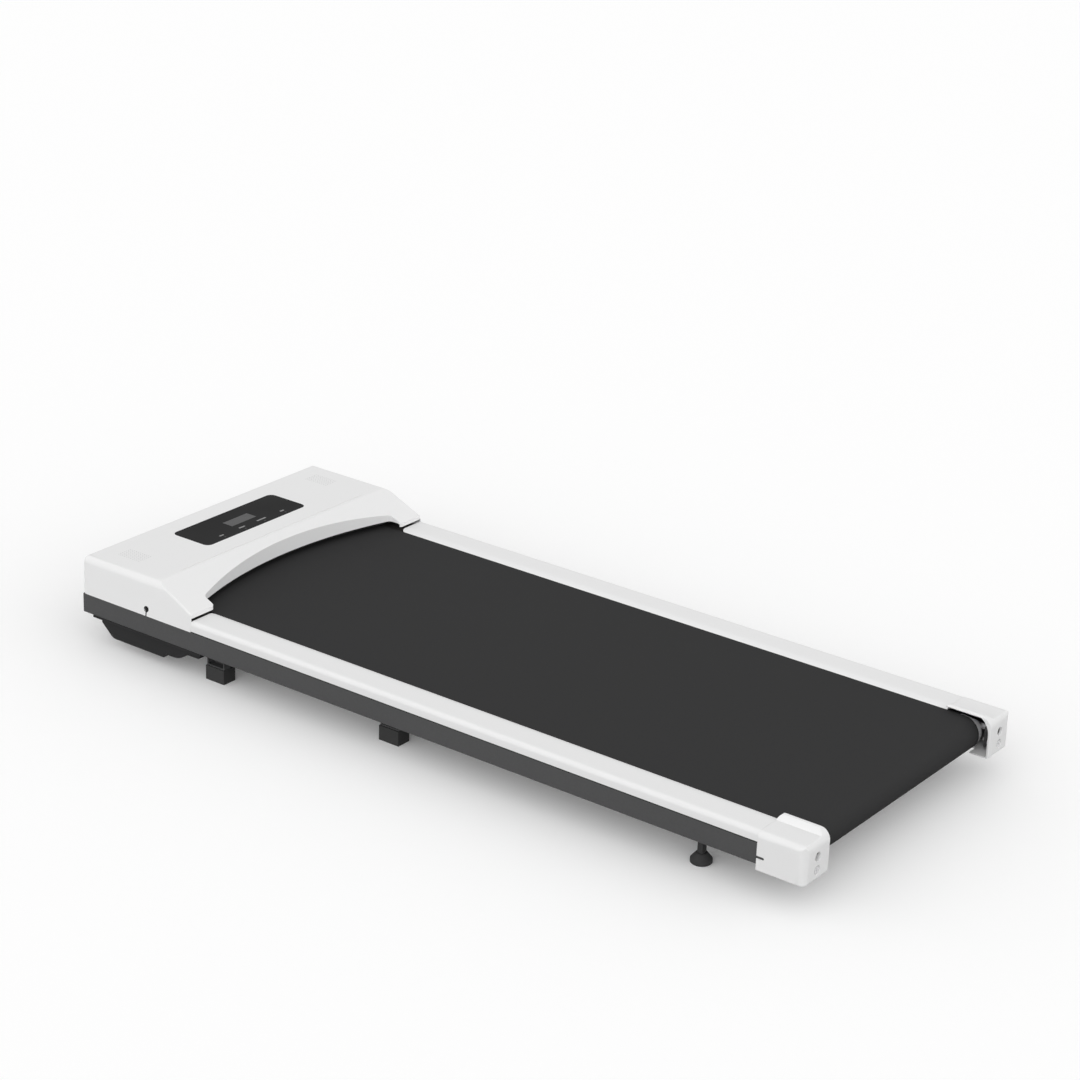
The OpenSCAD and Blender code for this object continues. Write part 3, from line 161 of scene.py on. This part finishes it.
# Steel with another finish: zinc on the caps' screws, black on the hood's, turned on the roller
zinc_plate = finish_material("zinc_plate", (0.74, 0.74, 0.75), 0.5, metal=0.25, spread=0.04,
                             specular=0.3)
# The black finish also serves as painted shade on the keyhole, arch strip and rail gap pieces
# below
black_oxide_and_painted_shade = finish_material("black_oxide_and_painted_shade", (0.018, 0.018, 0.018), 0.6, spread=0.08,
                              specular=0.1)
turned_steel = finish_material("turned_steel", (0.72, 0.72, 0.73), 0.42, metal=0.35,
                               spread=0.04, stretch=(1, 0.05, 1))
FINISH = {"tension_bolt_left": zinc_plate, "tension_bolt_right": zinc_plate,
          "cap_screws": zinc_plate, "hood_screws": black_oxide_and_painted_shade, "tail_roller": turned_steel}


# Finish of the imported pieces

WELD = 0.000004                 # corners closer than this are one
FLAT = math.radians(0.05)       # faces that turn less than this are one
BREAK_FROM = math.radians(40)   # edges that turn more than this are broken
SHARP_FROM = math.radians(26)   # edges that turn more than this stay sharp to the eye
CAP_BREAK = 0.0007
FOOT_BREAK = 0.0004

# Small radius along the sharp edges that show, by piece
BREAKS = {"end_cap_left": CAP_BREAK, "end_cap_right": CAP_BREAK,
          "front_foot_left": FOOT_BREAK, "front_foot_right": FOOT_BREAK,
          "middle_foot_left": FOOT_BREAK, "middle_foot_right": FOOT_BREAK}


def finish_node(obj, radius):
    """Breaks a piece's sharp edges by the radius, and shades its round faces smooth and its
    flat ones flat."""
    for face in obj.data.polygons:
        face.use_smooth = True
    weld = obj.modifiers.new("weld", "WELD")
    weld.merge_threshold = WELD
    flat = obj.modifiers.new("flat", "DECIMATE")
    flat.decimate_type = "DISSOLVE"
    flat.angle_limit = FLAT
    if radius:
        edge = obj.modifiers.new("edge", "BEVEL")
        edge.width = radius
        edge.loop_slide = False
        edge.segments = 2
        edge.limit_method = "ANGLE"
        edge.angle_limit = BREAK_FROM
        edge.use_clamp_overlap = False
    split = obj.modifiers.new("split", "EDGE_SPLIT")
    split.split_angle = SHARP_FROM
    split.use_edge_sharp = False
    even = obj.modifiers.new("even", "WEIGHTED_NORMAL")
    even.mode = "FACE_AREA"
    even.weight = 100


for name, obj in nodes.items():
    obj.data.materials.clear()
    obj.data.materials.append(FINISH.get(name, MATS[slot_of[name]]))
    finish_node(obj, BREAKS.get(name, 0.0))


# Added pieces

def add_piece(name, bm, material, body="machine"):
    """Puts a new mesh in the scene under a material slot, moving with a body of the frame."""
    mesh = bpy.data.meshes.new(name)
    bm.normal_update()
    bm.to_mesh(mesh)
    bm.free()
    obj = bpy.data.objects.new(name, mesh)
    bpy.context.scene.collection.objects.link(obj)
    mesh.materials.append(material)
    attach(obj, body)


def slab(bm, x0, x1, y0, y1, z0, z1):
    """Box from the low corner to the high one."""
    made = bmesh.ops.create_cube(bm, size=1.0)
    size = Vector((x1 - x0, y1 - y0, z1 - z0))
    middle = Vector(((x0 + x1) / 2, (y0 + y1) / 2, (z0 + z1) / 2))
    for v in made["verts"]:
        v.co = Vector((v.co.x * size.x, v.co.y * size.y, v.co.z * size.z)) + middle


def disc(bm, x, y, z, radius, corners):
    """Flat round mark that faces up."""
    bmesh.ops.create_circle(bm, cap_ends=True, segments=corners, radius=radius,
                            matrix=Matrix.Translation((x, y, z)))


def ring(bm, centre, inner, outer, near, far, steps=36):
    """Closed ring around an axis along Y, from the near to the far value of Y."""
    loop = [bm.verts.new((centre.x + r, y, centre.z))
            for r, y in ((inner, near), (outer, near), (outer, far), (inner, far))]
    edges = [bm.edges.new((loop[i], loop[(i + 1) % 4])) for i in range(4)]
    bmesh.ops.spin(bm, geom=loop + edges, cent=centre, axis=(0, 1, 0), angle=2 * math.pi,
                   steps=steps, use_merge=True)
    bmesh.ops.recalc_face_normals(bm, faces=bm.faces[:])


def arc_strip(bm, centre_x, inner, outer, half_y, z0, z1, steps=64):
    """Upright strip that follows an arc in plan, its middle at the least X."""
    rows = []
    for i in range(steps + 1):
        y = half_y * (2 * i / steps - 1)
        corners = [(centre_x - math.sqrt(r * r - y * y), y, z)
                   for r, z in ((inner, z0), (outer, z0), (outer, z1), (inner, z1))]
        rows.append([bm.verts.new(c) for c in corners])
    for a, b in zip(rows, rows[1:]):
        for k in range(4):
            bm.faces.new((a[k], a[(k + 1) % 4], b[(k + 1) % 4], b[k]))
    bm.faces.new(rows[0][::-1])
    bm.faces.new(rows[-1])
    bmesh.ops.recalc_face_normals(bm, faces=bm.faces[:])


# Painted shade in and around the keyhole in each side of the hood: a round hole with a slot below
# it

KEYHOLE_X, KEYHOLE_Z = FRONT + 0.128, RAIL_TOP + 0.0103
LEAN = math.tan(math.radians(5.9))       # of the hood's side, inward for each metre up
INNER_SHADE_IN, INNER_SHADE_OUT = 0.0033, 0.00348  # radii of the painted shade ring in the hole
INNER_SHADE_Y0, INNER_SHADE_Y1 = RAIL_SIDE - 0.00215, RAIL_SIDE - 0.00155
SLOT_HALF = 0.00085                      # half the width of the painted shade in the slot
SLOT_Y0, SLOT_Y1 = RAIL_SIDE - 0.0026, RAIL_SIDE - 0.0004
SLOT_SET_BACK = 0.0002
RIM_IN, RIM_OUT = 0.0034, 0.0045         # radii of the painted shade rim on the surface
RIM_HALF = 0.0011                        # half the width of the painted shade along the slot's edges
RIM_LIFT = 0.00003
LOW_GAP = 0.0001                         # between the rail's top and the slot


def hood_side_y(side, z, out):
    """Y of the hood's leaning side at a height, moved out from it."""
    return side * (RAIL_SIDE - (z - RAIL_TOP) * LEAN + out)


def keyhole_inner_shade(bm, side):
    """Painted shade: a dark ring in the hole, and a dark slab in the slot that ends below the
    surface.
    """
    ring(bm, Vector((KEYHOLE_X, 0.0, KEYHOLE_Z)), INNER_SHADE_IN, INNER_SHADE_OUT,
         side * INNER_SHADE_Y0, side * INNER_SHADE_Y1)
    y0, y1 = sorted((side * SLOT_Y0, side * SLOT_Y1))
    slab(bm, KEYHOLE_X - SLOT_HALF, KEYHOLE_X + SLOT_HALF, y0, y1,
         RAIL_TOP + LOW_GAP, KEYHOLE_Z - RIM_IN)
    for v in bm.verts:
        if abs(v.co.y) > (INNER_SHADE_Y1 + SLOT_Y1) / 2:
            v.co.y = hood_side_y(side, v.co.z, -SLOT_SET_BACK)


def keyhole_outer_shade(bm, side, steps=36):
    """Painted shade: a thin dark rim that lies on the hood's leaning side around the hole, with
    the slot's edges below it.
    """
    def on_side(x, z):
        return bm.verts.new((x, hood_side_y(side, z, RIM_LIFT), z))
    rings = []
    for r in (RIM_IN, RIM_OUT):
        turns = [2 * math.pi * i / steps for i in range(steps)]
        rings.append([on_side(KEYHOLE_X + r * math.cos(a), KEYHOLE_Z + r * math.sin(a))
                      for a in turns])
    for i in range(steps):
        k = (i + 1) % steps
        bm.faces.new((rings[0][i], rings[1][i], rings[1][k], rings[0][k]))
    low, high = RAIL_TOP + LOW_GAP, KEYHOLE_Z - RIM_OUT
    bm.faces.new([on_side(KEYHOLE_X + x, z) for x, z in
                  ((-RIM_HALF, low), (RIM_HALF, low), (RIM_HALF, high), (-RIM_HALF, high))])
    for face in bm.faces:
        face.normal_update()
        if face.normal.y * side < 0:
            face.normal_flip()


# Painted shade in and around each keyhole
for side, name in SIDES:
    inner_shade = bmesh.new()
    keyhole_inner_shade(inner_shade, side)
    add_piece("keyhole_inner_shade_" + name, inner_shade, black_oxide_and_painted_shade)
    rim = bmesh.new()
    keyhole_outer_shade(rim, side)
    add_piece("keyhole_outer_shade_" + name, rim, black_oxide_and_painted_shade)


# Painted shade: a dark strip under the lip of the arch, in place of the shade beneath it

ARCH_CENTRE_X = FRONT + 0.8071
ARCH_LIP_Z = HOOD_TOP - 0.032
SHADE_STRIP_IN, SHADE_STRIP_OUT = 0.6483, 0.6500  # radii in plan
SHADE_STRIP_HALF = RAIL_SIDE - 0.0594
SHADE_STRIP_H = 0.0026

shade_strip = bmesh.new()
arc_strip(shade_strip, ARCH_CENTRE_X, SHADE_STRIP_IN, SHADE_STRIP_OUT, SHADE_STRIP_HALF,
          ARCH_LIP_Z - SHADE_STRIP_H, ARCH_LIP_Z - PRINT)
add_piece("arch_shade_strip", shade_strip, black_oxide_and_painted_shade)


# Painted shade: a dark strip in the gap between each foot rail and its tube, where shade falls

GAP_SHADE_Y0, GAP_SHADE_Y1 = RAIL_SIDE - 0.0039, RAIL_SIDE - 0.0004
GAP_SHADE_END_CLEARANCE = 0.0002
GAP_SHADE_CLEARANCE = 0.00005

for side, name in SIDES:
    gap_shade = bmesh.new()
    low, high = box("foot_rail_" + name)
    y0, y1 = sorted((side * GAP_SHADE_Y0, side * GAP_SHADE_Y1))
    slab(gap_shade, low.x + GAP_SHADE_END_CLEARANCE, high.x - GAP_SHADE_END_CLEARANCE, y0, y1,
         RAIL_TOP + GAP_SHADE_CLEARANCE, low.z - GAP_SHADE_CLEARANCE)
    add_piece("rail_gap_shade_" + name, gap_shade, black_oxide_and_painted_shade)


# Small holes of the two sound grilles, as dark discs on the hood's top

GRILLE_X, GRILLE_Y = FRONT + 0.0555, RAIL_SIDE - 0.0529
HOLE_PITCH, HOLE_R = 0.004, 0.00075
HOLES_X, HOLES_Y = 11, 7


def make_grille(side, name):
    """Field of small holes over one speaker."""
    bm = bmesh.new()
    for i in range(HOLES_X):
        for j in range(HOLES_Y):
            disc(bm, GRILLE_X + (i - HOLES_X // 2) * HOLE_PITCH,
                 side * GRILLE_Y + (j - HOLES_Y // 2) * HOLE_PITCH, HOOD_TOP + PRINT, HOLE_R, 14)
    add_piece("sound_holes_" + name, bm, hole_shade)


hole_shade = finish_material("hole_shade", (0.52, 0.52, 0.52), 0.8, spread=0.05, specular=0.1)
label_grey = finish_material("label_grey", (0.26, 0.26, 0.26), 0.5, spread=0.03, specular=0.1)
label_dim = finish_material("label_dim", (0.05, 0.05, 0.05), 0.5, spread=0.03, specular=0.1)
hatch_grey = finish_material("hatch_grey", (0.125, 0.125, 0.127), 0.4, spread=0.05,
                             specular=0.06)

for side, name in SIDES:
    make_grille(side, name)


# Plain bars and dots in place of the panel's markings

BAR_X0, BAR_X1 = FRONT + 0.0945, FRONT + 0.0975
BARS = ((-0.0645, 0.009), (-0.0205, 0.0125), (0.022, 0.019), (0.068, 0.008))  # Y, length
BAR_DEPTH, BAR_LIFT = 0.0002, 0.00003
DOT_X, DOT_R = FRONT + 0.1035, 0.0016

bars = bmesh.new()
dots = bmesh.new()
for y, length in BARS:
    slab(bars, BAR_X0, BAR_X1, y - length / 2, y + length / 2,
         PANEL_TOP - BAR_DEPTH, PANEL_TOP + BAR_LIFT)
    disc(dots, DOT_X, y, PANEL_TOP + PRINT, DOT_R, 16)
add_piece("panel_bars", bars, label_grey)
add_piece("panel_dots", dots, label_dim)


# Fine slanted lines in the display window, each cut off at the window's edges

LINE_PITCH, LINE_W = 0.0016, 0.0005  # along the window's length

low, high = box("display_window")
lines = bmesh.new()
reach = high.x - low.x
y = low.y - reach
while y < high.y:
    a, b = max(low.y, y), min(high.y, y + reach)
    if b > a:
        x0, x1 = low.x + (a - y), low.x + (b - y)
        corners = [(x0, a), (x1, b), (x1, min(high.y, b + LINE_W)), (x0, min(high.y, a + LINE_W))]
        verts = [lines.verts.new((cx, cy, high.z + PRINT)) for cx, cy in corners]
        face = lines.faces.new(verts)
        if face.calc_area() > 0:
            face.normal_update()
            if face.normal.z < 0:
                face.normal_flip()
    y += LINE_PITCH
add_piece("window_lines", lines, hatch_grey)


# Floor, light and camera

FLOOR_HALF = 30.0
FLOOR_SHOWN = (0.93, 0.93, 0.93, 1)     # what the camera sees of the floor
FLOOR_GLOW = 0.10                       # added to it, which lightens the shadow
FLOOR_BOUNCE = (0.18, 0.18, 0.18, 1)    # what lights the machine from below
BACKDROP = (0.97, 0.97, 0.97, 1)
WHITE = (1, 1, 1, 1)

# Brightness of the dome all round, and its change towards each direction
DOME_LEVEL = 1.77
DOME_LEAN = (0.21, -0.33, -1.29)

LAMP_TOWARDS = (0.278, -0.855, 0.438)
LAMP_STRENGTH = 0.10
LAMP_SPREAD = 50.0

# Camera fitted to the photo: angles in degrees, place in metres, focal length in frame widths.
CAMERA_YAW, CAMERA_PITCH, CAMERA_ROLL = -36.176, 22.209, 2.188
CAMERA_AT = (2.147, -2.9203, 1.728)
CAMERA_FOCAL = 2856.7 / 1080
SENSOR = 36.0


def background_rays(tree):
    """1 for the rays that show the background: from the camera, off gloss, through glass."""
    path = tree.nodes.new("ShaderNodeLightPath")
    shown = path.outputs["Is Camera Ray"]
    for name in ("Is Glossy Ray", "Is Transmission Ray"):
        either = tree.nodes.new("ShaderNodeMath")
        either.operation = "MAXIMUM"
        tree.links.new(shown, either.inputs[0])
        tree.links.new(path.outputs[name], either.inputs[1])
        shown = either.outputs[0]
    return shown


def make_floor():
    """Pale floor that keeps the machine's shadow and throws little light back on it."""
    mesh = bpy.data.meshes.new("floor")
    bm = bmesh.new()
    bmesh.ops.create_grid(bm, x_segments=1, y_segments=1, size=FLOOR_HALF)
    bm.to_mesh(mesh)
    bm.free()
    obj = bpy.data.objects.new("floor", mesh)
    bpy.context.scene.collection.objects.link(obj)
    mat = bpy.data.materials.new("floor_pale")
    mat.use_nodes = True
    tree = mat.node_tree
    tree.nodes.clear()
    new, link = tree.nodes.new, tree.links.new
    out = new("ShaderNodeOutputMaterial")
    pale = new("ShaderNodeBsdfDiffuse")
    pale.inputs["Color"].default_value = FLOOR_SHOWN
    lift = new("ShaderNodeEmission")
    lift.inputs["Color"].default_value = WHITE
    lift.inputs["Strength"].default_value = FLOOR_GLOW
    seen = new("ShaderNodeAddShader")
    link(pale.outputs[0], seen.inputs[0])
    link(lift.outputs[0], seen.inputs[1])
    quiet = new("ShaderNodeBsdfDiffuse")
    quiet.inputs["Color"].default_value = FLOOR_BOUNCE
    pick = new("ShaderNodeMixShader")
    link(background_rays(tree), pick.inputs["Fac"])
    link(quiet.outputs[0], pick.inputs[1])
    link(seen.outputs[0], pick.inputs[2])
    link(pick.outputs[0], out.inputs["Surface"])
    mesh.materials.append(mat)


def soft_sun(name, towards, strength, angle):
    """A wide, soft light from the side that the direction points to."""
    lamp = bpy.data.lights.new(name, "SUN")
    lamp.energy = strength * math.pi
    lamp.angle = math.radians(angle)
    obj = bpy.data.objects.new(name, lamp)
    bpy.context.scene.collection.objects.link(obj)
    obj.rotation_euler = (-Vector(towards)).to_track_quat("-Z", "Y").to_euler()


def make_world(level, lean):
    """Even studio dome: its brightness leans a little to the sides that the vector points to."""
    world = bpy.data.worlds.new("studio")
    bpy.context.scene.world = world
    world.use_nodes = True
    tree = world.node_tree
    tree.nodes.clear()
    new, link = tree.nodes.new, tree.links.new
    out = new("ShaderNodeOutputWorld")
    coord = new("ShaderNodeTexCoord")
    along = new("ShaderNodeVectorMath")
    along.operation = "DOT_PRODUCT"
    along.inputs[1].default_value = lean
    link(coord.outputs["Generated"], along.inputs[0])
    total = new("ShaderNodeMath")
    total.operation = "ADD"
    total.inputs[1].default_value = level
    link(along.outputs["Value"], total.inputs[0])
    light = new("ShaderNodeBackground")
    light.inputs["Color"].default_value = WHITE
    link(total.outputs[0], light.inputs["Strength"])
    seen = new("ShaderNodeBackground")
    seen.inputs["Color"].default_value = BACKDROP
    pick = new("ShaderNodeMixShader")
    link(background_rays(tree), pick.inputs["Fac"])
    link(light.outputs[0], pick.inputs[1])
    link(seen.outputs[0], pick.inputs[2])
    link(pick.outputs[0], out.inputs["Surface"])


def make_camera():
    """Camera at the photo's place, angle and focal length."""
    yaw, pitch, roll = (math.radians(a) for a in (CAMERA_YAW, CAMERA_PITCH, CAMERA_ROLL))
    fwd = Vector((math.cos(pitch) * math.sin(yaw), math.cos(pitch) * math.cos(yaw),
                  -math.sin(pitch)))
    right = Vector((math.cos(yaw), -math.sin(yaw), 0.0))
    up = right.cross(fwd)
    r = right * math.cos(roll) + up * math.sin(roll)
    u = -right * math.sin(roll) + up * math.cos(roll)
    cam = bpy.data.cameras.new("camera")
    cam.sensor_width = SENSOR
    cam.lens = CAMERA_FOCAL * SENSOR
    cam.clip_end = 100.0
    obj = bpy.data.objects.new("camera", cam)
    bpy.context.scene.collection.objects.link(obj)
    turn = Matrix((r, u, -fwd)).transposed().to_4x4()
    obj.matrix_world = Matrix.Translation(CAMERA_AT) @ turn
    bpy.context.scene.camera = obj


make_floor()
make_world(DOME_LEVEL, DOME_LEAN)
soft_sun("key", LAMP_TOWARDS, LAMP_STRENGTH, LAMP_SPREAD)
make_camera()
scene = bpy.context.scene
scene.view_settings.view_transform = "Standard"
